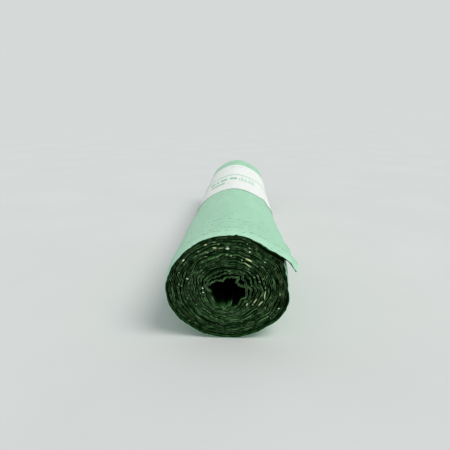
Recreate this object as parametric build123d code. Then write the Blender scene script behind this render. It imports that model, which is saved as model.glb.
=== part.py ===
from build123d import *
import math
import os

# A roll of seed mat lying on its side, held by a paper band.
# The roll's axis runs along Y, with the near end at -Y, and Z = 0 is the surface it lies on.
# Angles round the axis are in degrees, clockwise from the top as seen from the near end.

# The mat, and how it is wound: clockwise outwards as seen from the near end
MAT_WIDTH = 500.0
MAT_THICKNESS = 1.4
WINDING_SLACK = 0.81
WHOLE_TURNS = 14
INNER_EDGE_ANGLE = 165.0
OUTER_EDGE_ANGLE = 75.0
BORE_RADIUS = 14.4

# How far the section leaves a circle, as (waves round the axis, share of the radius, peak angle)
OUTER_WAVES = [(1, 0.025, 124.0), (2, 0.064, 87.0), (3, 0.006, 107.0), (4, 0.014, 88.0), (6, 0.006, 3.0)]
BORE_WAVES = [(1, 0.17, 160.0), (3, 0.086, 72.0)]

# How far the roll sags where it lies on its underside: share of the radius, half its width, and its angle
SAG_SHARE = 0.025
SAG_WIDTH_ANGLE = 22.0
SAG_ANGLE = 186.0

# The free corner that springs open between the near end and the band
CORNER_SPAN_ANGLE = 17.0
CORNER_LIFT = 6.0
CORNER_CURVE = 1.1
CORNER_SHARE = 0.69
CORNER_FADE = 1.2

# The paper band
BAND_WIDTH = 228.0
BAND_FAR_MARGIN = 78.0
BAND_THICKNESS = 0.3
BAND_CLEARANCE = 0.1
BAND_BRIDGE_ANGLE = 27.0
BAND_SIDE_ROOM = 5.0

# The roll's size along its length, as shares of its size at the near end, whose turns are tucked in
TUCK_DEPTH = 12.0
SIZE_BEHIND_TUCK = 1.03
SIZE_AT_BAND_START = 0.982
SIZE_AT_BAND_END = 0.968
SIZE_AT_FAR_END = 0.968

# The slits between the turns at both ends
SLIT_DEPTH = 10.0
SLIT_SHARE = 0.8
SLIT_RUN_OUT_ANGLE = 2.0

# Angles between the points that the curves pass through, and between those that are only measured
OUTLINE_STEP = 7.5
SLIT_STEP = 18.0
MEASURE_STEP = 0.5
CORNER_STATIONS = 5

near_end = -MAT_WIDTH / 2
far_end = MAT_WIDTH / 2
band_far_edge = far_end - BAND_FAR_MARGIN
band_near_edge = band_far_edge - BAND_WIDTH
corner_length = CORNER_SHARE * (band_near_edge - near_end)

wound_angle = 360.0 * WHOLE_TURNS + (OUTER_EDGE_ANGLE - INNER_EDGE_ANGLE) % 360.0
pitch = MAT_THICKNESS + WINDING_SLACK
outer_radius = BORE_RADIUS + MAT_THICKNESS + pitch * wound_angle / 360.0
corner_root = wound_angle - CORNER_SPAN_ANGLE


def wavy(radius, waves, angle):
    """A radius that swells and dips round the axis."""
    swell = sum(share * math.cos(math.radians(count * (angle - peak))) for count, share, peak in waves)
    return radius * (1 + swell)


def sag(angle):
    """How far the last turn gives way where the roll lies on it, so that it doesn't roll on."""
    off = (angle - SAG_ANGLE + 180.0) % 360.0 - 180.0
    return SAG_SHARE * outer_radius * math.exp(-((off / SAG_WIDTH_ANGLE) ** 2))


def outer_face(wound):
    """Radius of the mat's outer face, at an angle wound on from the inner edge."""
    angle = INNER_EDGE_ANGLE + wound
    first = wavy(BORE_RADIUS, BORE_WAVES, angle) + MAT_THICKNESS
    last = wavy(outer_radius, OUTER_WAVES, angle) - sag(angle)
    return first + (last - first) * wound / wound_angle


def inner_face(wound):
    """Radius of the mat's inner face, at an angle wound on from the inner edge."""
    return outer_face(wound) - MAT_THICKNESS


def slit_face(share):
    """Radius function of a wall in the gap outside each turn, a share of the way across it."""

    def radius(wound):
        below = outer_face(wound)
        return below + share * (inner_face(wound + 360.0) - below)

    return radius


def flat_point(wound, radius):
    """X and height, from the roll's axis, of a point at an angle wound on from the inner edge."""
    angle = math.radians(INNER_EDGE_ANGLE + wound)
    return radius * math.sin(angle), radius * math.cos(angle)


def steps(start, end, step):
    """Evenly spaced angles from start to end, about a step apart."""
    count = max(2, round(abs(end - start) / step))
    return [start + (end - start) * i / count for i in range(count + 1)]


def sprung_point(wound, radius, lift):
    """A point of the free corner, moved out along the ray that the corner's root lies on."""
    x, up = flat_point(wound, radius)
    out = lift * ((wound - corner_root) / CORNER_SPAN_ANGLE) ** CORNER_CURVE
    root_x, root_up = flat_point(corner_root, 1.0)
    return x + out * root_x, up + out * root_up


last_turn_angles = steps(wound_angle - 360.0, wound_angle, MEASURE_STEP)
last_turn = [flat_point(w, outer_face(w)) for w in last_turn_angles]
axis_height = -min(up for x, up in last_turn)
corner_tip_x = sprung_point(wound_angle, outer_face(wound_angle), CORNER_LIFT)[0]
axis_x = -(corner_tip_x + min(x for x, up in last_turn)) / 2


class Section:
    """A cut across the roll: its place along the axis, its share of the full size, and its underside."""

    def __init__(self, y, size, underside=0.0, lift=0.0):
        self.y = y
        self.size = size
        self.underside = underside
        self.lift = lift

    def point(self, x, up):
        height = self.underside + self.size * (axis_height + up)
        return Vector(axis_x + self.size * x, self.y, height)

    def corner(self, wound, radius):
        return self.point(*sprung_point(wound, radius, self.lift))

    def spiral(self, radius, start, end, step):
        """A curve that follows a radius function round the axis."""
        points = [self.point(*flat_point(w, radius(w))) for w in steps(start, end, step)]
        return Edge.make_spline(points)

    def half_turns(self, radius, start, end):
        """Curves that follow a radius function round the axis, one for each half turn."""
        ends = steps(start, end, 180.0)
        return [self.spiral(radius, a, b, SLIT_STEP) for a, b in zip(ends, ends[1:])]

    def corner_curve(self, radius, start, end):
        """A curve that follows a radius function over the sprung corner."""
        points = [self.corner(w, radius(w)) for w in steps(start, end, OUTLINE_STEP / 2)]
        return Edge.make_spline(points)


def corner_section(depth):
    """A cut through the sprung corner, at a depth from the near end."""
    tucked = min(depth / TUCK_DEPTH, 1.0)
    taper_length = band_near_edge - BAND_SIDE_ROOM - near_end - TUCK_DEPTH
    tapered = max(depth - TUCK_DEPTH, 0.0) / taper_length
    size = 1 + (SIZE_BEHIND_TUCK - 1) * tucked + (SIZE_AT_BAND_START - SIZE_BEHIND_TUCK) * tapered
    lift = CORNER_LIFT * max(1 - depth / corner_length, 0.0) ** CORNER_FADE
    return Section(near_end + depth, size, 0.0, lift)


def between(first, second, distance):
    """The cut at a distance from one section towards another."""
    share = distance / abs(second.y - first.y)

    def mixed(one, other):
        return one + (other - one) * share

    size = mixed(first.size, second.size)
    underside = mixed(first.underside, second.underside)
    return Section(mixed(first.y, second.y), size, underside)


corner_step = (corner_length - TUCK_DEPTH) / (CORNER_STATIONS - 1)
corner_depths = [0.0] + [TUCK_DEPTH + i * corner_step for i in range(CORNER_STATIONS)]
corner_sections = [corner_section(depth) for depth in corner_depths]
under_band = BAND_THICKNESS + BAND_CLEARANCE
held_sections = [
    Section(band_near_edge - BAND_SIDE_ROOM, SIZE_AT_BAND_START, under_band),
    Section(band_far_edge + BAND_SIDE_ROOM, SIZE_AT_BAND_END, under_band),
    Section(far_end, SIZE_AT_FAR_END),
]


def turn_edge(section):
    """The last turn's outer face, from under the free edge round to the corner's root."""
    return section.spiral(outer_face, wound_angle - 360.0, corner_root, OUTLINE_STEP)


def open_outline(section):
    """Outline of the roll with the free corner sprung off the turn below it."""
    below = corner_root - 360.0
    shelf = section.spiral(outer_face, below, wound_angle - 360.0, OUTLINE_STEP / 2)
    top = section.corner_curve(outer_face, corner_root, wound_angle)
    underneath = section.corner_curve(inner_face, wound_angle, corner_root)
    tip = Edge.make_line(top @ 1, underneath @ 0)
    root = Edge.make_line(underneath @ 1, shelf @ 0)
    return Wire([shelf, turn_edge(section), top, tip, underneath, root])


def shut_outline(section):
    """Outline of the roll with the free edge lying on the turn below it."""
    around = turn_edge(section)
    top = section.corner_curve(outer_face, corner_root, wound_angle)
    free_edge = Edge.make_line(top @ 1, around @ 0)
    return Wire([around, top, free_edge])


def bore_outline(section):
    """Outline of the opening inside the first turn, with the step at the mat's inner edge."""
    around = section.spiral(inner_face, 0.0, 360.0, OUTLINE_STEP)
    inner_edge = Edge.make_line(around @ 1, around @ 0)
    return Wire([around, inner_edge])


def slit_outline(section, last_wound):
    """Outline of the spiral gap between the turns, open to the bore and to the outside."""
    start = -SLIT_RUN_OUT_ANGLE
    end = last_wound - 360.0 + SLIT_RUN_OUT_ANGLE
    margin = (1 - SLIT_SHARE) / 2
    below = section.half_turns(slit_face(margin), start, end)
    above = section.half_turns(slit_face(1 - margin), end, start)
    outer_mouth = Edge.make_line(below[-1] @ 1, above[0] @ 0)
    inner_mouth = Edge.make_line(above[-1] @ 1, below[0] @ 0)
    return Wire([*below, outer_mouth, *above, inner_mouth])


def slit(end_section, inward_section, last_wound):
    """The spiral gap between the turns at one end, SLIT_DEPTH deep."""
    floor_section = between(end_section, inward_section, SLIT_DEPTH)
    outlines = [slit_outline(s, last_wound) for s in (end_section, floor_section)]
    return Solid.make_loft(outlines, ruled=True)


def mat_roll():
    """The wound mat, open at its bore and between its turns at both ends."""
    all_sections = corner_sections + held_sections
    opened = Solid.make_loft([open_outline(s) for s in corner_sections], ruled=True)
    held = [corner_sections[-1]] + held_sections
    shut = Solid.make_loft([shut_outline(s) for s in held], ruled=True)
    bore = Solid.make_loft([bore_outline(s) for s in all_sections], ruled=True)
    near_slit = slit(all_sections[0], all_sections[1], corner_root)
    far_slit = slit(all_sections[-1], all_sections[-2], wound_angle)
    return opened.fuse(shut).cut(bore).cut(near_slit, far_slit)


def band_radius(off):
    """Radius function of a face of the band round the last turn, bridging the step at the free edge."""

    def radius(wound):
        into_bridge = (wound - (wound_angle - 360.0)) / BAND_BRIDGE_ANGLE
        step_height = outer_face(wound_angle) - outer_face(wound_angle - 360.0)
        bridge = step_height * max(0.0, 1 - into_bridge) ** 2
        return outer_face(wound) + bridge + off

    return radius


def paper_band():
    """The paper sleeve, standing off the mat by its clearance."""

    near_side, far_side = held_sections[:2]
    edges = [between(near_side, far_side, BAND_SIDE_ROOM), between(far_side, near_side, BAND_SIDE_ROOM)]

    def sleeve(off):
        def outline(section):
            radius = band_radius(off / section.size)
            return Wire([section.spiral(radius, wound_angle - 360.0, wound_angle, OUTLINE_STEP)])

        return Solid.make_loft([outline(section) for section in edges], ruled=True)

    return sleeve(BAND_CLEARANCE + BAND_THICKNESS).cut(sleeve(BAND_CLEARANCE))


os.makedirs("parts", exist_ok=True)
for name, build in [("mat_roll", mat_roll), ("paper_band", paper_band)]:
    piece = build()
    piece.label = name
    export_step(piece, "parts/" + name + ".step")
    print(name, "volume", round(piece.volume), "valid", piece.is_valid)
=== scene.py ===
import math

import bpy
import numpy as np
from mathutils import Matrix, Vector


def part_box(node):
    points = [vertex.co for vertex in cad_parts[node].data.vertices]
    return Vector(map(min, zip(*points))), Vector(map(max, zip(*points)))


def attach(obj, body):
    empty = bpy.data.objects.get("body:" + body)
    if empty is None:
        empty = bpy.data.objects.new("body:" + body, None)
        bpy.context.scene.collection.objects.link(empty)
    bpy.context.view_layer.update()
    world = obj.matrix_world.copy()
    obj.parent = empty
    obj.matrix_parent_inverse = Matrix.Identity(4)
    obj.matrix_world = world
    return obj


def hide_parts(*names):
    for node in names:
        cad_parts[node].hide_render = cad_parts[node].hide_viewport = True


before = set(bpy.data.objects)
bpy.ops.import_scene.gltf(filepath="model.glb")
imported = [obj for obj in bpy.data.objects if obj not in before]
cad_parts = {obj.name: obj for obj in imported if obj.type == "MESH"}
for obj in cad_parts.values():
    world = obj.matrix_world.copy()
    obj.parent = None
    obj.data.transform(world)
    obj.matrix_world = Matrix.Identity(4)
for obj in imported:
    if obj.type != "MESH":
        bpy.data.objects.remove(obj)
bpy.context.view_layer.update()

# Sizes are in millimetres until a mesh is made, and angles in degrees, clockwise from the top of
# the roll as seen from its near end. A place along the strip of mat is its angle wound on from
# the mat's inner edge, and a depth is a distance in from an end of the roll.
MM = 0.001

# The winding, as in the solid
MAT_THICKNESS = 1.4
WINDING_SLACK = 0.81
WHOLE_TURNS = 14
INNER_EDGE_ANGLE = 165.0
OUTER_EDGE_ANGLE = 75.0
BORE_RADIUS = 14.4
OUTER_WAVES = [(1, 0.025, 124.0), (2, 0.064, 87.0), (3, 0.006, 107.0), (4, 0.014, 88.0), (6, 0.006, 3.0)]
BORE_WAVES = [(1, 0.17, 160.0), (3, 0.086, 72.0)]
SAG_SHARE = 0.025
SAG_WIDTH_ANGLE = 22.0
SAG_ANGLE = 186.0
CORNER_SPAN_ANGLE = 17.0
CORNER_LIFT = 6.0
CORNER_CURVE = 1.1
CORNER_SHARE = 0.69
CORNER_FADE = 1.2

near_end, far_end = (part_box("mat_roll")[i][1] / MM for i in (0, 1))
band_near, band_far = (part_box("paper_band")[i][1] / MM for i in (0, 1))
corner_length = CORNER_SHARE * (band_near - near_end)

# The roll's size along its length, as (place, share of its size at the near end)
SIZES = [
    (near_end, 1.000),
    (near_end + 12, 1.030),
    (band_near - 5, 0.982),
    (band_far + 5, 0.968),
    (far_end, 0.968),
]

# How far the band lifts the roll off the floor, and how still it holds the outer turns. Both fade
# away beside it.
UNDER_BAND = 0.4
UNDER_BAND_FADE = 30.0
HELD_STILL = 0.85
HELD_REACH = 3.0
HELD_FADE = 25.0

# No point of the roll comes nearer the floor than this
LEAST_HEIGHT = 0.02

# The free corner's wave, how far its tip reaches on round the roll and out, and over what depth
CORNER_WAVE_HEIGHT = 2.0
CORNER_WAVE_LENGTH = 42.0
CORNER_WAVE_START = 0.22
CORNER_WAVE_FADE = 60.0
CORNER_TIP_ANGLE = 0.9
CORNER_TIP_OUT = 0.6
CORNER_TIP_REACH = 9.0

# Nicks in the near edge of the last turn, as (angle, width, depth)
NICKS = [(8.5, 1.6, 1.5), (-14.0, 2.2, 0.5), (34.0, 2.0, 0.6), (-50.0, 1.8, 0.5)]

# Where the outer turns bulge or sink, as (angle, width, height, place along the roll, length)
BENDS = [
    (50.0, 5.0, 0.9, band_near, 60.0),
    (61.0, 6.0, -0.8, band_near, 60.0),
    (74.0, 15.0, -1.6, band_near + 100.0, 130.0),
    (-75.0, 20.0, -0.9, band_near + 12.0, 35.0),
    (87.0, 12.0, -2.3, near_end + 15.0, 28.0),
]
BEND_FULL_ANGLE = 380.0
BEND_TURNS = 3.0

# How the turns inside the last one sink away under the free corner, and how far back from the free
# edge that starts
HOLLOW_ANGLE = 47.0
HOLLOW_WIDTH_ANGLE = 15.0
HOLLOW_HEIGHT = -3.4
HOLLOW_DEPTH = 20.0
HOLLOW_TURNS = 5.0
HOLLOW_FROM_ANGLE = 200.0

# How far the outermost turn stands out at the near end, and the innermost turn stands in, beyond
# the even winding: heights at even steps of angle from the top
RIM_SHIFTS = [
    0.2, 1.2, 0.9, 0.0, 2.5, -1.0, 0.4, 1.2, 1.3, 0.3, 0.0, 0.0,
    0.0, 0.0, 0.0, 0.0, 0.0, 0.5, 1.0, 0.3, 0.0, 0.8, 1.4, 0.8,
]
RIM_SHIFT_DEPTH = 14.0
CORE_SHIFTS = [
    -4.2, -4.9, -4.8, -1.6, -11.8, -12.7, -4.3, -1.8, 0.4, -1.4, -0.6, 0.0,
    1.0, -1.4, 2.6, 1.0, 1.6, 1.4, 6.6, -1.0, -3.0, -7.2, -8.4, -5.0,
]
CORE_SHIFT_DEPTH = 35.0
CORE_SHIFT_TURNS = 2.0
CORE_IN = 1.5

# How far the mat strays at random. The straying is strongest at the roll's ends, and END_FADE says
# how soon it falls off behind them.
END_FADE = 12.0
CORE_CREASE_TURNS = 3.5
CORE_CREASE_INSIDE = 0.5
BODY_CREASE_INSIDE = 0.3
BODY_SWELL = 0.10
BODY_SWELL_MIDWAY = 0.4
GAP_SWELL = 0.25
EDGE_FLUTTER = 0.3
EDGE_FLUTTER_LOST = 0.15
FLUTTER_SLANT = 0.3
OUTSIDE_SWELL = 0.3
OUTSIDE_SWELL_HELD = 0.5
LEAST_SLACK = 0.3

# How far in from the near end the mat's edge lies, inside its last turn, and how far it wanders. The
# far edge is made in the same way, from places further on round the roll.
LAST_EDGE_ANGLE = 330.0
EDGE_STEP_ANGLE = 60.0
EDGE_IN = 1.8
EDGE_WANDER = 0.3
EDGE_WANDER_INSIDE = 0.25
EDGE_LIMITS = (-0.5, 9.0)
EDGE_REACH = 60.0
FAR_EDGE_TURN = 55.0
FAR_EDGE_SHIFT = 40.0

# The two plies of the mat, which leave room between them for the seed. They spring apart at the
# roll's ends, and are thinner at their edges, as (depth, share of the thickness).
PLY_THICKNESS = 0.5
PLY_SPRING_LOST = 0.25
PLY_PINCH = 0.2
PLY_FLUTTER = 0.3
EDGE_TAPER = [(0.0, 0.45), (0.3, 0.85), (0.9, 1.0)]
SHARP_ANGLE = 55.0

# The mat's inner corner lies on the floor of the bore as a tongue, out beyond the turns round it.
# Behind it the mat's inner edge curls up as a lip.
LIP_SPAN_ANGLE = 40.0
LIP_CURVE = 1.6
LIP_HEIGHT = 3.6
LIP_RISE_FROM = -2.0
LIP_RISE = 5.0
LIP_LEAN_ANGLE = 16.0
LIP_REACH = 16.0
TONGUE_ANGLE = 192.0
TONGUE_WIDTH_ANGLE = 22.0
TONGUE_OUT = 3.5
TONGUE_SPAN_ANGLE = 200.0

# Columns round the winding, and rows along it. The last turn, which shows, is the finer.
COLUMN_STEP = 1.7
TURN_STEPS = (2.0, 5.0)
LAST_TURN_STEP = 1.8
LAST_TURN_ANGLE = 396.0
# The mint ply is mint on its outside and edges only over its last 372 degrees. On the turns inside, it
# has the dark fleece and the ply edge, as painted shade between the turns
MINT_FROM_ANGLE = 372.0
EDGE_ROWS = [0.0, 0.3, 1.2, 3.5, 8.0, 16.0, 40.0]
FAR_EDGE_ROWS = [20.0, 6.0, 1.5, 0.4, 0.0]
MINT_EDGE_ROWS = [2.2, 5.5, 12.0, 20.0, 25.0, 30.0, 35.0]
DARK_ROWS = [25.0, 55.0, 75.0, 95.0, 115.0, 135.0, 160.0]
FINE_ROW_STEP = 5.5
FINE_ROW_MARGIN = 22.0

# Near enough a whole turn, in radians, for the ways and starts of random waves
WAVE_TURN = 6.28

wound_angle = 360.0 * WHOLE_TURNS + (OUTER_EDGE_ANGLE - INNER_EDGE_ANGLE) % 360.0
pitch = MAT_THICKNESS + WINDING_SLACK
outer_radius = BORE_RADIUS + MAT_THICKNESS + pitch * wound_angle / 360.0
corner_root = wound_angle - CORNER_SPAN_ANGLE


def wavy(radius, waves, angle):
    """A radius that swells and dips round the axis."""
    swell = sum(share * np.cos(np.radians(count * (angle - peak))) for count, share, peak in waves)
    return radius * (1 + swell)


def off_angle(wound, angle):
    """How far round the roll a place is from an angle."""
    return (INNER_EDGE_ANGLE + wound - angle + 180.0) % 360.0 - 180.0


def hump(distance, width):
    """1 in the middle, fading to 0 over a width on both sides."""
    return np.exp(-(distance / width) ** 2)


def outer_face(wound):
    """Radius of the mat's outer face, before it is crumpled."""
    angle = INNER_EDGE_ANGLE + wound
    first = wavy(BORE_RADIUS, BORE_WAVES, angle) + MAT_THICKNESS
    sag = SAG_SHARE * outer_radius * hump(off_angle(wound, SAG_ANGLE), SAG_WIDTH_ANGLE)
    last = wavy(outer_radius, OUTER_WAVES, angle) - sag
    return first + (last - first) * wound / wound_angle


def flat_point(wound, radius):
    """X and height, from the roll's axis, of a place at an angle wound on."""
    angle = np.radians(INNER_EDGE_ANGLE + wound)
    return radius * np.sin(angle), radius * np.cos(angle)


last_turn = np.linspace(wound_angle - 360.0, wound_angle, 721)
last_x, last_up = flat_point(last_turn, outer_face(last_turn))
axis_height = -last_up.min()
root_x, root_up = flat_point(corner_root, 1.0)
tip_x = flat_point(wound_angle, outer_face(wound_angle))[0] + CORNER_LIFT * root_x
axis_x = -(tip_x + last_x.min()) / 2


def size_at(y):
    """The roll's size, as a share of its size at the near end."""
    places, shares = zip(*SIZES)
    return np.interp(y, places, shares)


def profile(heights, wound):
    """A smooth height round the roll, from heights at even steps of angle from the top."""
    place = (INNER_EDGE_ANGLE + wound) % 360.0 / 360.0 * len(heights)
    first = np.floor(place).astype(int) % len(heights)
    share = place - np.floor(place)
    share = share * share * (3 - 2 * share)
    known = np.array(heights)
    return known[first] * (1 - share) + known[(first + 1) % len(heights)] * share


def beside_band(y, reach, fade):
    """1 under the band and for a reach beside it, and 0 beyond a fade from it."""
    places = [band_near - fade, band_near - reach, band_far + reach, band_far + fade]
    return np.interp(y, places, [0, 1, 1, 0])


def underside_at(y):
    """How far the band, with the gap inside it, lifts the roll off the floor."""
    return UNDER_BAND * beside_band(y, 0.0, UNDER_BAND_FADE)


def held_by_band(y):
    """1 under the band, 0 well away from it."""
    return beside_band(y, HELD_REACH, HELD_FADE)


def lift_at(y):
    """How far the free corner springs out."""
    depth = y - near_end
    swing = np.sin(2 * math.pi * depth / CORNER_WAVE_LENGTH + CORNER_WAVE_START)
    wave = CORNER_WAVE_HEIGHT * swing * np.exp(-depth / CORNER_WAVE_FADE)
    return CORNER_LIFT * (1 - np.clip(depth / corner_length, 0, 1)) ** CORNER_FADE + wave


def bends(wound, y):
    """How far the outer turns bulge or sink."""
    return sum(
        height * hump(off_angle(wound, angle), width) * hump(y - place, length)
        for angle, width, height, place, length in BENDS
    )


def hollow(wound, y):
    """How the turns below the last one sink away from it under the free corner."""
    turns_in = (wound_angle - 360.0 - wound) / (360.0 * HOLLOW_TURNS)
    below = np.where(wound < wound_angle - HOLLOW_FROM_ANGLE, np.clip(1 - turns_in, 0, 1), 0)
    across = hump(off_angle(wound, HOLLOW_ANGLE), HOLLOW_WIDTH_ANGLE)
    return HOLLOW_HEIGHT * across * hump(y - near_end, HOLLOW_DEPTH) * below


def in_place(x, up, y):
    """Points in metres, from places measured from the roll's axis, with the roll pulled in."""
    size = size_at(y)
    across = axis_x + size * x
    height = underside_at(y) + size * (axis_height + up)
    return np.stack(np.broadcast_arrays(across, y, np.maximum(height, LEAST_HEIGHT)), -1) * MM


def ripples(seed, count, short, long):
    """A smooth random surface over two lengths, about 1 high, from waves of a range of lengths."""
    rng = np.random.default_rng(seed)
    lengths = rng.uniform(short, long, count)
    ways = rng.uniform(0, WAVE_TURN, count)
    starts = rng.uniform(0, WAVE_TURN, count)

    def height(u, v):
        total = 0.0
        for length, way, start in zip(lengths, ways, starts):
            total = total + np.sin(WAVE_TURN * (u * math.cos(way) + v * math.sin(way)) / length + start)
        return total / math.sqrt(count)

    return height


def creases(seed, counts, drift, twist):
    """Creases along the roll that each turn shares with the next, as a function of wound and y.

    They drift, in radians over the whole mat, and twist, in radians over each 100 mm."""
    rng = np.random.default_rng(seed)
    waves = [
        (n, rng.uniform(0, WAVE_TURN), rng.uniform(-drift, drift), rng.uniform(-twist, twist))
        for n in counts
    ]

    def height(wound, y):
        angle = np.radians(INNER_EDGE_ANGLE + wound)
        total = 0.0
        for n, start, along, deep in waves:
            total = total + np.cos(n * angle + start + along * wound / wound_angle + deep * y / 100.0)
        return total / math.sqrt(len(waves))

    return height


core_creases = creases(3, (5, 8, 11, 15, 19, 24), 5.0, 1.0)
body_creases = creases(8, (8, 11, 13, 17), 7.0, 0.6)
turn_gaps = creases(9, (1, 2, 3, 4), 30.0, 0.2)
edge_flutter = ripples(11, 11, 4.0, 18.0)
edge_flutter_inside = ripples(12, 11, 4.0, 18.0)
edge_run = ripples(13, 7, 12.0, 45.0)
edge_telescope = ripples(14, 6, 120.0, 380.0)
edge_pinch = ripples(16, 6, 20.0, 70.0)
outside_swells = ripples(15, 9, 35.0, 110.0)

# Length along the strip at each angle wound on
all_wound = np.arange(-10.0, wound_angle + 20.0, 1.0)
all_length = np.cumsum(np.radians(1.0) * outer_face(all_wound))


def length_at(wound):
    """Millimetres along the strip."""
    return np.interp(wound, all_wound, all_length)


def slack_at(wound):
    """Room between a turn and the next one out."""
    return np.maximum(outer_face(wound + 360.0) - MAT_THICKNESS - outer_face(wound), LEAST_SLACK)


def crumple(wound, y):
    """How far the mat strays outwards from its even winding."""
    share = wound / wound_angle
    turns = wound / 360.0
    midway = np.sin(math.pi * np.clip(share, 0, 1))
    depth = np.maximum(np.minimum(y - near_end, far_end - y), 0)
    near_edge = np.exp(-depth / END_FADE)
    core_reach = CORE_CREASE_INSIDE + (1 - CORE_CREASE_INSIDE) * near_edge
    core = core_reach * np.exp(-turns / CORE_CREASE_TURNS) * core_creases(wound, y)
    core_shift = profile(CORE_SHIFTS, wound) * hump(y - near_end, CORE_SHIFT_DEPTH) - CORE_IN
    core = core + core_shift * np.exp(-turns / CORE_SHIFT_TURNS)
    swell = BODY_SWELL + BODY_SWELL_MIDWAY * midway ** 0.7
    body = swell * (BODY_CREASE_INSIDE + (1 - BODY_CREASE_INSIDE) * near_edge) * body_creases(wound, y)
    gaps = GAP_SWELL * midway ** 0.5 * turn_gaps(wound, y)
    flutter = (EDGE_FLUTTER - EDGE_FLUTTER_LOST * share ** 8) * slack_at(wound)
    edges = flutter * near_edge * edge_flutter(length_at(wound), FLUTTER_SLANT * y)
    rim = profile(RIM_SHIFTS, wound) * share ** 2 * hump(y - near_end, RIM_SHIFT_DEPTH)
    dents = rim + hollow(wound, y)
    # The band's hold comes on over the last sixth of the mat, and the swelling over its last twelfth
    loose = 1 - HELD_STILL * held_by_band(y) * np.clip(share * 6 - 5, 0, 1)
    free = 1 - OUTSIDE_SWELL_HELD * held_by_band(y)
    last = np.clip(share * 12 - 11, 0, 1) * (1 - near_edge) * free
    outer = np.clip(1 - (wound_angle - BEND_FULL_ANGLE - wound) / (BEND_TURNS * 360.0), 0, 1)
    outside = OUTSIDE_SWELL * last * outside_swells(length_at(wound), y) + outer * bends(wound, y)
    return (core + body + gaps + edges) * loose + dents + outside


def mat_path(wound, y):
    """Middle of the mat, as x and height from the axis, for columns of wound and rows of y."""
    depth = y - near_end
    at_lip = np.clip(1 - wound / LIP_SPAN_ANGLE, 0, 1) ** LIP_CURVE * hump(depth, LIP_REACH)
    risen = np.clip((depth - LIP_RISE_FROM) / LIP_RISE, 0, 1)
    radius = outer_face(wound) - MAT_THICKNESS / 2 + crumple(wound, y) - LIP_HEIGHT * at_lip * risen
    sprung = np.clip((wound - corner_root) / CORNER_SPAN_ANGLE, 0, 1)
    tip = sprung ** 4 * hump(depth, CORNER_TIP_REACH)
    x, up = flat_point(wound + LIP_LEAN_ANGLE * at_lip * (1 - risen) + CORNER_TIP_ANGLE * tip, radius)
    out = lift_at(y) * sprung ** CORNER_CURVE + CORNER_TIP_OUT * tip
    return x + out * root_x, up + out * root_up


def inside_last_turn(wound):
    """0 on the last turn, 1 on the turns inside it."""
    return np.clip((wound_angle - LAST_EDGE_ANGLE - wound) / EDGE_STEP_ANGLE, 0, 1)


def nicks(wound):
    """Small nicks in the near edge of the last turn."""
    last = wound > wound_angle - LAST_EDGE_ANGLE
    return last * sum(deep * hump(off_angle(wound, angle), width) for angle, width, deep in NICKS)


def edge_place(wound, shift):
    """How far in from the near end the mat's edge lies. The shift gives each ply an edge of its own."""
    inside = inside_last_turn(wound)
    wander = (EDGE_WANDER + EDGE_WANDER_INSIDE * inside) * edge_run(length_at(wound), shift)
    slide = edge_telescope(length_at(wound), shift)
    # The first fifth of the mat lies up to a millimetre further in
    core = np.clip(1 - wound / wound_angle * 5, 0, 1)
    on_tongue = hump(off_angle(wound, TONGUE_ANGLE), TONGUE_WIDTH_ANGLE)
    tongue = TONGUE_OUT * on_tongue * np.clip(1 - wound / TONGUE_SPAN_ANGLE, 0, 1)
    return np.clip(inside * (EDGE_IN + slide + core) + wander, *EDGE_LIMITS) + nicks(wound) - tongue


def far_edge_place(wound, shift):
    """How far in from the far end the mat's other edge lies."""
    return edge_place(wound + FAR_EDGE_TURN, shift + FAR_EDGE_SHIFT)


def taper(depth):
    """How much of its thickness a ply has near its edge."""
    depths, shares = zip(*EDGE_TAPER)
    return np.interp(depth, depths, shares)


def ply_faces(wound, row_depth, row_place, middle, shift):
    """Outer and inner faces of a ply, whose middle is a distance outwards from the mat's middle."""
    wound = wound[:, None]
    near_share = np.clip(1 - (row_place - near_end) / EDGE_REACH, 0, 1)
    far_share = np.clip(1 - (far_end - row_place) / EDGE_REACH, 0, 1)
    near_in = near_share * edge_place(wound, shift)
    y = row_place[None, :] + near_in - far_share * far_edge_place(wound, shift)
    x, up = mat_path(wound, y)
    run_x = np.gradient(x, axis=0)
    run_up = np.gradient(up, axis=0)
    run = np.hypot(run_x, run_up)
    out_x = -run_up / run
    out_up = run_x / run
    # At the roll's ends the plies spring apart into the gaps between the turns
    at_end = np.maximum(near_share, far_share) ** 12 * inside_last_turn(wound)
    apart = (MAT_THICKNESS + slack_at(wound)) / 4 / abs(middle) - 1
    sprung = 1 + at_end * (apart - PLY_SPRING_LOST + PLY_PINCH * edge_pinch(length_at(wound), 0.0))
    flutter = edge_flutter_inside(length_at(wound), FLUTTER_SLANT * y)
    parted = middle * sprung * (1 + PLY_FLUTTER * near_share ** 6 * flutter)
    half = PLY_THICKNESS / 2 * taper(row_depth)[None, :]

    def face(side):
        off = parted + side * half
        return in_place(x + off * out_x, up + off * out_up, y)

    return face(1), face(-1), np.broadcast_to(row_place, y.shape)


def mesh_piece(name, points, faces, materials, kinds=None, smooth=False):
    """A new object in the scene. The kinds say which of the materials each face has."""
    mesh = bpy.data.meshes.new(name)
    mesh.from_pydata(points, [], faces)
    for material in materials:
        mesh.materials.append(material)
    if kinds is not None:
        mesh.polygons.foreach_set("material_index", kinds)
    if smooth:
        mesh.polygons.foreach_set("use_smooth", [True] * len(faces))
    piece = bpy.data.objects.new(name, mesh)
    bpy.context.scene.collection.objects.link(piece)
    return piece


def write_flat(mesh, flat):
    """Stores where each point lies on the flat sheet, in metres, for the materials to follow."""
    layer = mesh.attributes.new("flat", "FLOAT_VECTOR", "POINT")
    layer.data.foreach_set("vector", np.asarray(flat, np.float32).ravel())


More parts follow.
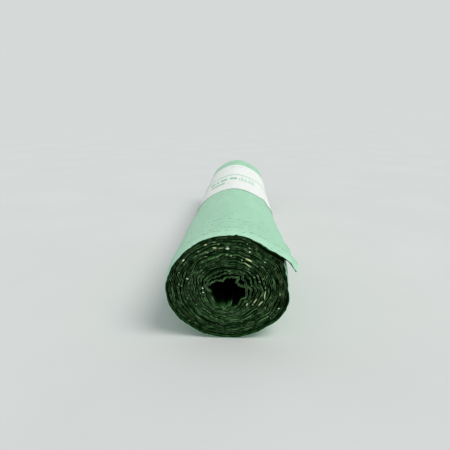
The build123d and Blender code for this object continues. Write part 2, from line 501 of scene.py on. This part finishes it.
def strip_mesh(name, columns, rows, first_fine, coarse_rows, faces_at, materials, unshaded_from):
    """A closed strip of cloth. Columns before first_fine have only the coarse rows.

    The materials are those of its outside and edges from unshaded_from on, and elsewhere of its faces
    and of its edges; on the mint ply these give painted shade on the turns inside the last one."""
    outer, inner, y = faces_at(columns)
    wound = np.broadcast_to(columns[:, None], y.shape)
    coarse = set(coarse_rows)
    present = np.ones((len(columns), len(rows)), bool)
    present[:first_fine, [r for r in range(len(rows)) if r not in coarse]] = False
    ids = np.full(present.shape, -1)
    ids[present] = np.arange(present.sum())
    ids = ids.tolist()
    count = int(present.sum())
    faces = []
    kinds = []

    def add(corners, kind):
        faces.append(corners)
        kinds.append(kind)

    for c in range(len(columns) - 1):
        used = [r for r in range(len(rows)) if present[c, r]]
        here = ids[c]
        ahead = ids[c + 1]
        outside = 0 if columns[c] >= unshaded_from else 1
        for a, b in zip(used, used[1:]):
            right = [ahead[r] for r in range(a, b + 1) if present[c + 1, r]]
            add([here[a], *right, here[b]], outside)
            add([i + count for i in [here[b], *reversed(right), here[a]]], 1)
        for r, flip in ((0, False), (len(rows) - 1, True)):
            wall = [here[r], here[r] + count, ahead[r] + count, ahead[r]]
            add(wall[::-1] if flip else wall, 2 if outside else 0)
    for c, flip in ((0, True), (len(columns) - 1, False)):
        used = [r for r in range(len(rows)) if present[c, r]]
        for a, b in zip(used, used[1:]):
            wall = [ids[c][a], ids[c][a] + count, ids[c][b] + count, ids[c][b]]
            add(wall[::-1] if flip else wall, 2)

    points = np.concatenate([outer[present], inner[present]]).tolist()
    piece = mesh_piece(name, points, faces, materials, kinds, smooth=True)
    flat = np.stack([length_at(wound[present]) * MM, y[present] * MM, wound[present] / 360.0], -1)
    write_flat(piece.data, np.concatenate([flat, flat]))
    piece.data.set_sharp_from_angle(angle=math.radians(SHARP_ANGLE))
    piece.data.validate()
    return piece


def srgb(red, green, blue):
    """A colour as written on a screen, from 0 to 255, as the linear value that shaders take."""
    shares = [c / 255.0 for c in (red, green, blue)]
    return [s / 12.92 if s <= 0.04045 else ((s + 0.055) / 1.055) ** 2.4 for s in shares] + [1.0]


class Shader:
    """A material's nodes, added one at a time and joined as they are made."""

    def __init__(self, name):
        self.material = bpy.data.materials.new(name)
        self.material.use_nodes = True
        self.nodes = self.material.node_tree.nodes
        self.links = self.material.node_tree.links
        self.shader = self.nodes["Principled BSDF"]

    def node(self, kind, inputs=(), **settings):
        made = self.nodes.new(kind)
        for key, value in settings.items():
            setattr(made, key, value)
        for key, value in dict(inputs).items():
            self.join(value, made.inputs[key])
        return made

    def join(self, value, socket):
        if isinstance(value, bpy.types.NodeSocket):
            self.links.new(value, socket)
        else:
            socket.default_value = value

    def flat(self):
        """Where a point lies on the flat sheet: metres along it and across it, and its turn."""
        return self.node("ShaderNodeAttribute", attribute_name="flat").outputs["Vector"]

    def place(self):
        return self.node("ShaderNodeTexCoord").outputs["Object"]

    def scaled(self, vector, scale, turn=0.0):
        inputs = {"Vector": vector, "Scale": scale, "Rotation": (0, 0, math.radians(turn))}
        return self.node("ShaderNodeMapping", inputs).outputs["Vector"]

    def noise(self, vector, scale, detail=2.0, roughness=0.5, distortion=0.0):
        inputs = {"Vector": vector, "Scale": scale, "Detail": detail}
        inputs.update({"Roughness": roughness, "Distortion": distortion})
        return self.node("ShaderNodeTexNoise", inputs).outputs["Fac"]

    def cells(self, vector, scale, output="Distance"):
        return self.node("ShaderNodeTexVoronoi", {"Vector": vector, "Scale": scale}).outputs[output]

    def along(self, vector, axis):
        return self.node("ShaderNodeSeparateXYZ", {"Vector": vector}).outputs[axis]

    def depth(self, flat):
        """Metres in from the nearer end of the roll."""
        return self.maths("SUBTRACT", HALF_ROLL, self.maths("ABSOLUTE", self.along(flat, "Y")))

    def maths(self, operation, first, second=0.0):
        return self.node("ShaderNodeMath", {0: first, 1: second}, operation=operation).outputs[0]

    def step(self, value, low, high, bottom=0.0, top=1.0):
        inputs = {"Value": value, "From Min": low, "From Max": high, "To Min": bottom, "To Max": top}
        return self.node("ShaderNodeMapRange", inputs, clamp=True).outputs["Result"]

    def mix(self, share, first, second):
        made = self.node("ShaderNodeMix", data_type="RGBA")
        self.join(share, made.inputs["Factor"])
        self.join(first, made.inputs["A"])
        self.join(second, made.inputs["B"])
        return made.outputs["Result"]

    def bump(self, height, strength, distance, normal=None):
        inputs = {"Height": height, "Strength": strength, "Distance": distance}
        if normal is not None:
            inputs["Normal"] = normal
        return self.node("ShaderNodeBump", inputs).outputs["Normal"]

    def surface(self, colour, roughness, normal=None, sheen=0.0, specular=0.5):
        self.join(colour, self.shader.inputs["Base Color"])
        self.join(roughness, self.shader.inputs["Roughness"])
        self.shader.inputs["Sheen Weight"].default_value = sheen
        self.shader.inputs["Sheen Roughness"].default_value = 0.5
        self.shader.inputs["Specular IOR Level"].default_value = specular
        if normal is not None:
            self.join(normal, self.shader.inputs["Normal"])
        return self.material


# In metres, as the materials need them: half the roll's length, and for the rows of dashes that run
# along the mat's edges how far apart they are, how far they wander, and the depths at which they
# start, are full, begin to fade and have faded
HALF_ROLL = 0.25
ROW_GAP = 0.0078
ROW_WANDER = 0.020
ROWS_START = 0.004
ROWS_FULL = 0.006
ROWS_FADE = 0.050
ROWS_FADED = 0.085


def fibres(s, flat):
    """Fine crossing fibres, as in felted fleece."""
    total = None
    for turn in (12.0, 65.0, 118.0, 160.0):
        lines = s.noise(s.scaled(flat, (220, 1500, 0), turn), 1.0, 2.0, 0.6, 0.4)
        total = lines if total is None else s.maths("MAXIMUM", total, lines)
    return total


def marks(s, flat, depth):
    """Broken rows of dark dashes along the mat's edges, and specks where seed shows through."""
    wander = s.noise(s.scaled(flat, (16, 26, 0)), 1.0, 1.0)
    row = s.maths("ADD", depth, s.maths("MULTIPLY", wander, ROW_WANDER))
    row = s.maths("FRACT", s.maths("MULTIPLY", row, 1 / ROW_GAP))
    off = s.maths("ABSOLUTE", s.maths("SUBTRACT", row, 0.5))
    thin = s.step(off, 0.02, 0.08, 1.0, 0.0)
    dash = s.noise(s.scaled(flat, (250, 290, 3.1)), 1.0, 2.0, 0.6)
    rows = s.maths("MULTIPLY", thin, s.step(dash, 0.48, 0.58))
    strength = s.noise(s.scaled(flat, (18, 40, 11.3)), 1.0, 3.0)
    strong = s.step(strength, 0.36, 0.6, 0.35, 1.0)
    faded = s.step(depth, ROWS_FADE, ROWS_FADED, 1.0, 0.15)
    close = s.maths("MULTIPLY", faded, s.step(depth, ROWS_START, ROWS_FULL))
    rows = s.maths("MULTIPLY", rows, s.maths("MULTIPLY", strong, close))
    field = s.scaled(flat, (170, 340, 0))
    picked = s.step(s.cells(field, 1.0, "Color"), 0.70, 0.73)
    specks = s.maths("MULTIPLY", s.step(s.cells(field, 1.0), 0.08, 0.26, 0.7, 0.0), picked)
    specks = s.maths("MULTIPLY", specks, s.step(depth, 0.030, 0.070, 1.0, 0.3))
    return s.maths("MAXIMUM", rows, specks)


def fleece_material():
    """Pale green fleece."""
    s = Shader("mint_fleece")
    flat = s.flat()
    grain = fibres(s, flat)
    blotches = s.noise(flat, 28.0, 4.0, 0.6)
    mottle = s.noise(flat, 300.0, 4.0, 0.8)
    depth = s.depth(flat)
    colour = s.mix(s.step(blotches, 0.35, 0.65), srgb(163, 214, 182), srgb(173, 223, 192))
    colour = s.mix(s.step(mottle, 0.42, 0.66, 0.0, 0.8), colour, srgb(141, 197, 162))
    colour = s.mix(s.step(grain, 0.58, 0.8, 0.0, 0.6), colour, srgb(189, 233, 207))
    colour = s.mix(s.step(depth, 0.003, 0.012, 0.3, 0.0), colour, srgb(196, 238, 212))
    dark_marks = marks(s, flat, depth)
    colour = s.mix(s.maths("MULTIPLY", dark_marks, 0.9), colour, srgb(56, 98, 74))
    height = s.maths("SUBTRACT", s.maths("ADD", grain, s.maths("MULTIPLY", mottle, 0.7)), dark_marks)
    normal = s.bump(s.noise(flat, 160.0, 4.0, 0.6), 0.5, 0.0014, s.bump(height, 0.6, 0.0004))
    return s.surface(colour, 0.9, normal, sheen=0.2, specular=0.2)


def dark_material(name, deep, light, sheen):
    """Dark green fleece with painted shade in the bore, dusty with raised fibres at the mat's edges."""
    s = Shader(name)
    flat = s.flat()
    grain = fibres(s, flat)
    turns = s.along(flat, "Z")
    depth = s.depth(flat)
    dust = s.noise(s.scaled(flat, (110, 620, 7.3)), 1.0, 4.0, 0.65)
    dust = s.maths("ADD", dust, s.step(turns, 0.3, 3.0, 0.10, 0.0))
    share = s.step(s.maths("ADD", dust, s.maths("MULTIPLY", grain, 0.4)), 0.60, 0.90)
    patches = s.step(s.noise(s.scaled(flat, (230, 40, 3.7)), 1.0, 2.0), 0.40, 0.60, 0.45, 1.3)
    # The pale share fades to a fifth from about 1 to 6 mm in from the roll's end. This is partly dust and
    # fibres at the cut edge and partly painted shade in the gaps between the turns and on the floor of
    # the bore
    near_edge = s.step(depth, 0.0008, 0.006, 1.0, 0.2)
    share = s.maths("MULTIPLY", s.maths("MULTIPLY", share, patches), near_edge)
    colour = s.mix(share, deep, light)
    # Painted shade: on the first turn, which lines the bore, the colour goes near black from a few
    # millimetres in from the roll's end
    inside = s.maths("SUBTRACT", depth, s.step(turns, 0.08, 0.20, 0.005, 0.0))
    first_turn = s.step(turns, 0.98, 1.02, 1.0, 0.0)
    painted_bore_shade = s.maths("MULTIPLY", first_turn, s.step(inside, 0.0004, 0.0034))
    colour = s.mix(painted_bore_shade, colour, srgb(5, 19, 8))
    return s.surface(colour, 0.95, s.bump(grain, 0.6, 0.0004), sheen=sheen, specular=0.0)


def seed_material(name, pale, warm):
    """Ribbed seed, in two tones."""
    s = Shader(name)
    place = s.place()
    tone = s.noise(place, 260.0, 2.0)
    ribs = s.noise(s.scaled(place, (2600, 500, 2600)), 1.0, 2.0)
    colour = s.mix(s.step(tone, 0.35, 0.65), pale, warm)
    return s.surface(colour, 0.6, s.bump(ribs, 0.4, 0.0002), specular=0.4)


def paper_material():
    """White paper with a faint tooth."""
    s = Shader("band_paper")
    flat = s.flat()
    tooth = s.noise(flat, 1400.0, 3.0, 0.7)
    cloud = s.noise(flat, 45.0, 3.0)
    colour = s.mix(s.step(cloud, 0.3, 0.7), srgb(234, 238, 233), srgb(242, 244, 240))
    normal = s.bump(s.noise(flat, 60.0, 2.0), 0.2, 0.0012, s.bump(tooth, 0.25, 0.0001))
    return s.surface(colour, 0.55, normal, specular=0.4)


def cloudy_material(name, scale, first, second, roughness, specular):
    """A plain coat of paint or ink, faintly cloudy."""
    s = Shader(name)
    cloud = s.noise(s.place(), scale, 3.0)
    colour = s.mix(s.step(cloud, 0.3, 0.7), first, second)
    return s.surface(colour, roughness, specular=specular)


fleece = fleece_material()
dark = dark_material("dark_fleece", srgb(11, 34, 13), srgb(52, 96, 50), 0.0)
# The ply edge is a paler copy of the dark fleece for the cut edges: partly dust and raised fibres, and
# partly a painted highlight along the edges
ply_edge = dark_material("ply_edge", srgb(19, 50, 22), srgb(134, 178, 122), 0.06)


def rows_along(extra=()):
    """Places along the roll for rows, and how far in each is from its end."""
    near = [near_end + d for d in EDGE_ROWS]
    far = [far_end - d for d in FAR_EDGE_ROWS]
    held = [place for place, share in SIZES[2:-1]]
    places = np.array(sorted({round(p, 4) for p in [*near, *held, *far, *extra]}))
    return places, np.minimum(places - near_end, far_end - places)


def inner_columns():
    """Angles wound on, about COLUMN_STEP apart along the mat."""
    wound = [0.0]
    while wound[-1] < wound_angle - LAST_TURN_ANGLE:
        even = math.degrees(COLUMN_STEP / float(outer_face(wound[-1])))
        wound.append(wound[-1] + min(max(even, TURN_STEPS[0]), TURN_STEPS[1]))
    return np.array(wound[:-1])


last_column_count = round(LAST_TURN_ANGLE / LAST_TURN_STEP)
wound_in = inner_columns()
wound_last = np.linspace(wound_angle - LAST_TURN_ANGLE, wound_angle, last_column_count)
columns = np.concatenate([wound_in, wound_last])
coarse_places = rows_along()[0]
even_from = near_end + EDGE_ROWS[-1] + FINE_ROW_STEP
even_places = np.arange(even_from, far_end - FINE_ROW_MARGIN, FINE_ROW_STEP)
clear_places = [p for p in even_places if min(abs(coarse_places - p)) > FINE_ROW_STEP / 3]
mint_edge_places = [near_end + d for d in MINT_EDGE_ROWS]
dark_places = [near_end + d for d in DARK_ROWS]


def ply(name, middle, extra_places, outside, shift):
    """A ply of the mat, with rows at extra places on its last turn. Inside that, its outside has the dark
    fleece and its edges the ply edge, which on the mint ply is painted shade between the turns.
    """
    places, depths = rows_along(extra_places)
    coarse_rows = [int(np.argmin(abs(places - p))) for p in coarse_places]
    # Painted shade: before this column the mint ply's outside and edges get the dark fleece and the ply
    # edge
    unshaded_from = wound_angle - MINT_FROM_ANGLE

    def faces_at(wound):
        return ply_faces(wound, depths, places, middle, shift)

    materials = [outside, dark, ply_edge]
    return strip_mesh(name, columns, places, len(wound_in), coarse_rows, faces_at, materials, unshaded_from)


ply_off = (MAT_THICKNESS - PLY_THICKNESS) / 2
mint_ply = ply("mint_ply", ply_off, [*clear_places, *mint_edge_places], fleece, 0.0)
dark_ply = ply("dark_ply", -ply_off, dark_places, dark, 17.0)

# Seed on the near end, as (angle, distance from the axis, length, width, how far it dips to the right)
ROUND_SEEDS = [
    (0, 33.4, 2.9, 2.7, 0), (-56, 40.7, 2.2, 1.7, 140), (-77, 32.8, 2.3, 1.7, 10),
    (53, 37.3, 2.2, 1.7, 0), (-28, 32.9, 2.1, 1.7, 14), (112, 45.6, 1.5, 1.1, 150),
    (-91, 19.6, 1.7, 1.1, 47), (-101, 20.8, 1.7, 1.2, 0), (29, 36.6, 2.0, 1.4, 0),
    (27, 39.0, 1.6, 1.1, 61), (132, 22.6, 2.6, 1.2, 110),
]
LONG_HUSKS = [
    (34, 29.9, 6.2, 1.6, 26), (38, 24.6, 7.0, 1.2, 38), (100, 30.3, 7.5, 1.3, 95),
    (115, 30.2, 5.4, 1.5, 130), (116, 23.7, 5.0, 1.2, 123), (-9, 33.9, 4.5, 1.3, 172),
    (-16, 34.6, 3.0, 1.1, 2), (-25, 41.1, 2.6, 1.2, 150),
]
DULL_SEEDS = [
    (22, 41, 1.6, 1.1, 90), (25, 27, 1.6, 1.1, 70), (-85, 40, 1.8, 1.2, 55), (67, 23, 1.8, 1.4, 10),
    (97, 42, 2.0, 1.3, 70), (77, 26, 1.7, 1.1, 20), (6, 28, 2.0, 1.3, 170), (66, 26, 2.8, 1.0, 55),
    (73, 30, 2.0, 0.9, 40), (88, 29, 2.0, 0.8, 90), (-33, 31, 3.5, 0.9, 175), (0, 36, 2.5, 1.0, 25),
    (-15, 41, 3.4, 1.0, 170), (6, 16, 2.6, 0.8, 175), (-29, 36, 2.2, 0.8, 150), (53, 23, 2.0, 0.9, 50),
]

# Seed scattered over an end, between two distances from the axis
SMALL_SEEDS = 58
FAR_SEEDS = 11
FAR_HUSKS = 8
SCATTER_FROM = 18.0
SCATTER_TO = 45.0
SCATTER_DIP = 35.0

# How far in from the mat's edge a seed's middle lies, which is below 0 where it stands out, how far
# it keeps from the free edge, and the depth at which its turn of the mat is looked for
SEED_IN = (-0.6, -0.1)
SEED_CLEAR_ANGLE = 5.0
SEED_TURN_DEPTH = 2.0

# A seed's shape, and how far it may be rolled over, in radians
SEED_FLATNESS = 0.7
SEED_BEND = 0.25
SEED_ROLL = 3.1
SEED_SIDES = 8
SEED_RINGS = 7


def scattered(count, seed, shortest=0.8, longest=1.6, slimmest=0.4, plumpest=0.8):
    """Seeds anywhere on an end of the roll."""
    rng = np.random.default_rng(seed)
    angles = rng.uniform(-180, 180, count)
    distances = np.sqrt(rng.uniform(SCATTER_FROM ** 2, SCATTER_TO ** 2, count))
    lengths = rng.uniform(shortest, longest, count)
    widths = lengths * rng.uniform(slimmest, plumpest, count)
    dips = angles + rng.uniform(-SCATTER_DIP, SCATTER_DIP, count)
    return list(zip(angles, distances, lengths, widths, dips))


def wound_near(angle, distance):
    """The angle wound on at which the mat passes nearest a place on the near end of the roll."""
    first = (angle - INNER_EDGE_ANGLE) % 360.0
    turns = first + 360.0 * np.arange(WHOLE_TURNS + 1)
    turns = turns[turns < wound_angle - SEED_CLEAR_ANGLE]
    middle = outer_face(turns) - MAT_THICKNESS / 2 + crumple(turns, near_end + SEED_TURN_DEPTH)
    return float(turns[np.argmin(abs(middle - distance))])


def on_edge(wound, in_from_edge, at_far_end):
    """A place between the plies near an edge of the mat."""
    at = np.array([wound])
    if at_far_end:
        y = far_end - far_edge_place(at, 0.0) - in_from_edge
    else:
        y = near_end + edge_place(at, 0.0) + in_from_edge
    return Vector(in_place(*mat_path(at, y), y)[0])


def seed_shape(length, width, thick, bend):
    """A husk: a long closed body, pointed at both ends and a little bent."""
    points = []
    for i in range(SEED_RINGS):
        share = i / (SEED_RINGS - 1)
        swell = math.sin(math.pi * (0.06 + 0.88 * share)) ** 0.8
        along = (share - 0.5) * length
        sag = bend * length * (0.25 - (share - 0.5) ** 2)
        for k in range(SEED_SIDES):
            turn = 2 * math.pi * k / SEED_SIDES
            across = width / 2 * swell * math.cos(turn)
            points.append((along, across, thick / 2 * swell * math.sin(turn) + sag))
    last_ring = (SEED_RINGS - 1) * SEED_SIDES
    faces = [tuple(range(SEED_SIDES))[::-1], tuple(last_ring + k for k in range(SEED_SIDES))]
    for ring in range(0, last_ring, SEED_SIDES):
        for k in range(SEED_SIDES):
            a = ring + k
            b = ring + (k + 1) % SEED_SIDES
            faces.append((a, b, b + SEED_SIDES, a + SEED_SIDES))
    return points, faces


def seeds_piece(name, seeds, material, seed, at_far_end=False):
    """Many seeds at an edge of the mat, as one mesh."""
    rng = np.random.default_rng(seed)
    points = []
    faces = []
    for angle, distance, length, width, dip in seeds:
        place = on_edge(wound_near(angle, distance), rng.uniform(*SEED_IN), at_far_end)
        bend = rng.uniform(-SEED_BEND, SEED_BEND)
        shape, shape_faces = seed_shape(length, width, width * SEED_FLATNESS, bend)
        along = Vector((math.cos(math.radians(dip)), 0, -math.sin(math.radians(dip))))
        side = Vector((0, 1 if at_far_end else -1, 0))
        laid = Matrix((along, side, along.cross(side))).transposed()
        turned = laid @ Matrix.Rotation(rng.uniform(0, SEED_ROLL), 3, "X")
        start = len(points)
        points += [tuple(place + turned @ (Vector(p) * MM)) for p in shape]
        faces += [tuple(i + start for i in face) for face in shape_faces]
    return mesh_piece(name, points, faces, [material], smooth=True)


seed_pale = seed_material("seed_pale", srgb(240, 255, 226), srgb(205, 232, 190))
husk_straw = seed_material("husk_straw", srgb(228, 242, 184), srgb(188, 208, 146))
seed_dull = seed_material("seed_dull", srgb(152, 178, 130), srgb(108, 136, 92))
far_seeds = scattered(FAR_SEEDS, 25, shortest=1.6, longest=2.5, slimmest=0.6, plumpest=0.9)
far_husks = scattered(FAR_HUSKS, 27, shortest=3.0, longest=7.0, slimmest=0.2, plumpest=0.3)
seed_pieces = [
    seeds_piece("grass_seed", ROUND_SEEDS, seed_pale, 21),
    seeds_piece("seed_husks", LONG_HUSKS, husk_straw, 22),
    seeds_piece("small_seed", DULL_SEEDS + scattered(SMALL_SEEDS, 23), seed_dull, 24),
    seeds_piece("far_seed", far_seeds, seed_pale, 26, at_far_end=True),
    seeds_piece("far_husks", far_husks, husk_straw, 28, at_far_end=True),
    seeds_piece("far_small_seed", scattered(SMALL_SEEDS, 29), seed_dull, 30, at_far_end=True),
]

# The paper sleeve, which is lapped on itself out of the photograph's sight
BAND_THICKNESS = 0.3
BAND_OFF = 0.25
BAND_BRIDGE_ANGLE = 27.0
LAP_START = wound_angle - 360.0 + 45.0
LAP_ANGLE = 17.0
LAP_RISE_ANGLE = 2.0
LAP_GAP = 0.05
BAND_STEP_ANGLE = 2.0
BAND_ROW_STEP = 6.0
BAND_RIPPLE = 0.12
BAND_LENGTH_PER_DEGREE = 0.9
band_ripples = ripples(31, 7, 60.0, 160.0)


def band_radius(angle_on):
    """Radius of the sleeve's inner face, bridging the step at the mat's free edge."""
    first = wound_angle - 360.0
    wound = first + (angle_on - first) % 360.0
    into = np.clip(1 - (wound - first) / BAND_BRIDGE_ANGLE, 0, 1)
    step = outer_face(wound_angle) - outer_face(first)
    return outer_face(wound) + step * into ** 2 + BAND_OFF


def sleeve_point(angles, y, off):
    """A place on the sleeve, a distance outwards from its inner face."""
    on_lap = np.clip((angles - (LAP_START + 360.0)) / LAP_RISE_ANGLE + 1, 0, 1)
    lapped = on_lap * (BAND_THICKNESS + LAP_GAP)
    ripple = BAND_RIPPLE * (1 + band_ripples(angles * BAND_LENGTH_PER_DEGREE, y))
    waves = ripple + bends(angles, y)
    x, up = flat_point(angles, band_radius(angles) + lapped + waves + off)
    return in_place(x, up, y)


def sleeve_piece():
    """The sleeve, as a strip round the roll that laps over its own start."""
    angles = np.arange(LAP_START, LAP_START + 360.0 + LAP_ANGLE, BAND_STEP_ANGLE)
    places = np.linspace(band_near, band_far, round((band_far - band_near) / BAND_ROW_STEP))
    paper = paper_material()

    def faces_at(wound):
        y = places[None, :] + 0 * wound[:, None]
        return sleeve_point(wound[:, None], y, BAND_THICKNESS), sleeve_point(wound[:, None], y, 0.0), y

    return strip_mesh("paper_sleeve", angles, places, 0, range(len(places)), faces_at, [paper] * 3, 0)


# What is printed on the sleeve: plain blocks, as (first and last angle, place, width), a pale stripe
# round it, as (place, width), and a clump of upright blades of grass, as angles and heights
PRINT_OFF = 0.06
STRIPE = (52.0, 9.0)
STRIPE_SHORT_ANGLE = 2.0
BLOCKS = [
    (-46, -37, 14.0, 15.0), (-34, -30, 12.0, 20.0), (-26, -13, 13.0, 17.0), (-8, 5, 13.0, 17.0),
    (-42, -16, -12.0, 10.0), (-11, -9, -14.0, 5.0), (-10, 0, 143.0, 4.0), (4, 15, 143.0, 4.0),
]
BLADE_ANGLES = np.arange(10.0, 38.0, 3.3)
BLADE_FOOT = 6.0
BLADE_HEIGHTS = (24.0, 40.0, 30.0, 36.0, 20.0)
BLADE_WIDTH = 2.6
BLADE_LEAN = 1.8


def print_patch(points, faces, at, n_across, n_along):
    """Adds a grid of faces to a print, placed by a function of two shares from 0 to 1."""
    start = len(points)
    for i in range(n_along + 1):
        for k in range(n_across + 1):
            angle, y = at(k / n_across, i / n_along)
            points.append(sleeve_point(np.array(angle), np.array(y), BAND_THICKNESS + PRINT_OFF).tolist())
    for i in range(n_along):
        for k in range(n_across):
            a = start + i * (n_across + 1) + k
            faces.append((a, a + 1, a + n_across + 2, a + n_across + 1))


def on_top(angle):
    """The angle wound on at an angle from the top, on the last turn."""
    return wound_angle - 360.0 + (angle - OUTER_EDGE_ANGLE) % 360.0


def block(first, last, y, width):
    """A block of print between two angles wound on, as a function of two shares from 0 to 1."""
    return lambda u, v: (first + u * (last - first), y + v * width)


def blade(middle, height, lean):
    """A blade of grass that leans at its tip, as a function of two shares from 0 to 1."""

    def at(u, v):
        across = (u - 0.5) * BLADE_WIDTH * (1 - v ** 2)
        return middle + across + lean * v ** 2, BLADE_FOOT + height * v

    return at


def print_piece():
    """All the print, as one mesh. Its blocks are green, and its stripe and blades are pale."""
    points = []
    faces = []
    stripe_end = LAP_START + 360.0 - STRIPE_SHORT_ANGLE
    print_patch(points, faces, block(LAP_START, stripe_end, *STRIPE), 150, 1)
    kinds = [0] * len(faces)
    for first, last, y, width in BLOCKS:
        print_patch(points, faces, block(on_top(first), on_top(last), y, width), 14, 2)
    kinds += [1] * (len(faces) - len(kinds))
    for i, angle in enumerate(BLADE_ANGLES):
        height = BLADE_HEIGHTS[i % len(BLADE_HEIGHTS)]
        lean = BLADE_LEAN if i % 2 else -BLADE_LEAN
        print_patch(points, faces, blade(on_top(angle), height, lean), 2, 8)
    kinds += [0] * (len(faces) - len(kinds))
    tones = [
        cloudy_material("print_pale", 500.0, srgb(176, 216, 194), srgb(196, 228, 210), 0.6, 0.35),
        cloudy_material("print_green", 500.0, srgb(146, 194, 168), srgb(168, 210, 186), 0.6, 0.35),
    ]
    return mesh_piece("sleeve_print", points, faces, tones, kinds)


sleeve = sleeve_piece()
printed = print_piece()

# Both plies were cut as wide as the mat, and as long as it is when it is unrolled
for piece in (mint_ply, dark_ply, *seed_pieces):
    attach(piece, "root")
    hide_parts("mat_roll")
for piece in (sleeve, printed):
    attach(piece, "root")
    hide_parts("paper_band")

# The camera: its place from the roll's axis, the angles it is turned left and down by, and its focal
# length in pixels of a frame this many pixels wide
CAMERA_FROM_AXIS = (10.5, -543.6, 138.9)
CAMERA_LEFT = 2.40
CAMERA_DOWN = 16.17
FRAME_PIXELS = 450
FOCAL_PIXELS = 400.0
SENSOR_MM = 36.0

# The light: a soft sky, the plain backdrop that is seen in its place, and a broad pale sun
SKY_COLOUR = (0.93, 0.97, 1.0, 1.0)
SKY_STRENGTH = 0.58
BACKDROP_COLOUR = (0.669, 0.697, 0.685, 1.0)
SUN_WAY = (-0.60, 0.28, -1.0)
SUN_STRENGTH = 1.72
SUN_SPREAD_ANGLE = 35.0
SUN_COLOUR = (1.0, 0.99, 0.96)
FLOOR_HALF_METRES = 60.0


def add_camera():
    """The camera, placed and turned as for the photograph."""
    data = bpy.data.cameras.new("camera")
    data.sensor_width = SENSOR_MM
    data.lens = SENSOR_MM * FOCAL_PIXELS / FRAME_PIXELS
    data.clip_start = 0.01
    camera = bpy.data.objects.new("camera", data)
    x, y, height = CAMERA_FROM_AXIS
    camera.location = ((axis_x + x) * MM, y * MM, (axis_height + height) * MM)
    camera.rotation_euler = (math.radians(90 - CAMERA_DOWN), 0, math.radians(CAMERA_LEFT))
    bpy.context.scene.collection.objects.link(camera)
    bpy.context.scene.camera = camera


def add_sun():
    """A light from far off, shining along SUN_WAY."""
    data = bpy.data.lights.new("key_light", "SUN")
    data.energy = SUN_STRENGTH
    data.angle = math.radians(SUN_SPREAD_ANGLE)
    data.color = SUN_COLOUR
    light = bpy.data.objects.new("key_light", data)
    light.rotation_euler = Vector(SUN_WAY).to_track_quat("-Z", "Y").to_euler()
    bpy.context.scene.collection.objects.link(light)


def add_world():
    """A soft even sky, which the camera sees as a pale plain backdrop."""
    world = bpy.data.worlds.new("sky")
    bpy.context.scene.world = world
    world.use_nodes = True
    nodes = world.node_tree.nodes
    links = world.node_tree.links
    light = nodes["Background"]
    light.inputs["Color"].default_value = SKY_COLOUR
    light.inputs["Strength"].default_value = SKY_STRENGTH
    seen = nodes.new("ShaderNodeBackground")
    seen.inputs["Color"].default_value = BACKDROP_COLOUR
    paths = nodes.new("ShaderNodeLightPath").outputs
    choose = nodes.new("ShaderNodeMixShader")
    shown = paths["Is Camera Ray"]
    for kind in ("Is Glossy Ray", "Is Transmission Ray"):
        either = nodes.new("ShaderNodeMath")
        either.operation = "MAXIMUM"
        links.new(shown, either.inputs[0])
        links.new(paths[kind], either.inputs[1])
        shown = either.outputs[0]
    links.new(shown, choose.inputs["Fac"])
    links.new(light.outputs["Background"], choose.inputs[1])
    links.new(seen.outputs["Background"], choose.inputs[2])
    links.new(choose.outputs["Shader"], nodes["World Output"].inputs["Surface"])


def add_floor():
    """A plain pale floor, far wider than the view."""
    half = FLOOR_HALF_METRES
    corners = [(-half, -half, 0), (half, -half, 0), (half, half, 0), (-half, half, 0)]
    paint = cloudy_material("floor_paint", 6.0, srgb(212, 214, 212), srgb(216, 218, 216), 0.9, 0.1)
    floor = mesh_piece("floor", corners, [(0, 1, 2, 3)], [paint])


add_camera()
add_world()
add_floor()
add_sun()
bpy.context.scene.view_settings.view_transform = "Standard"
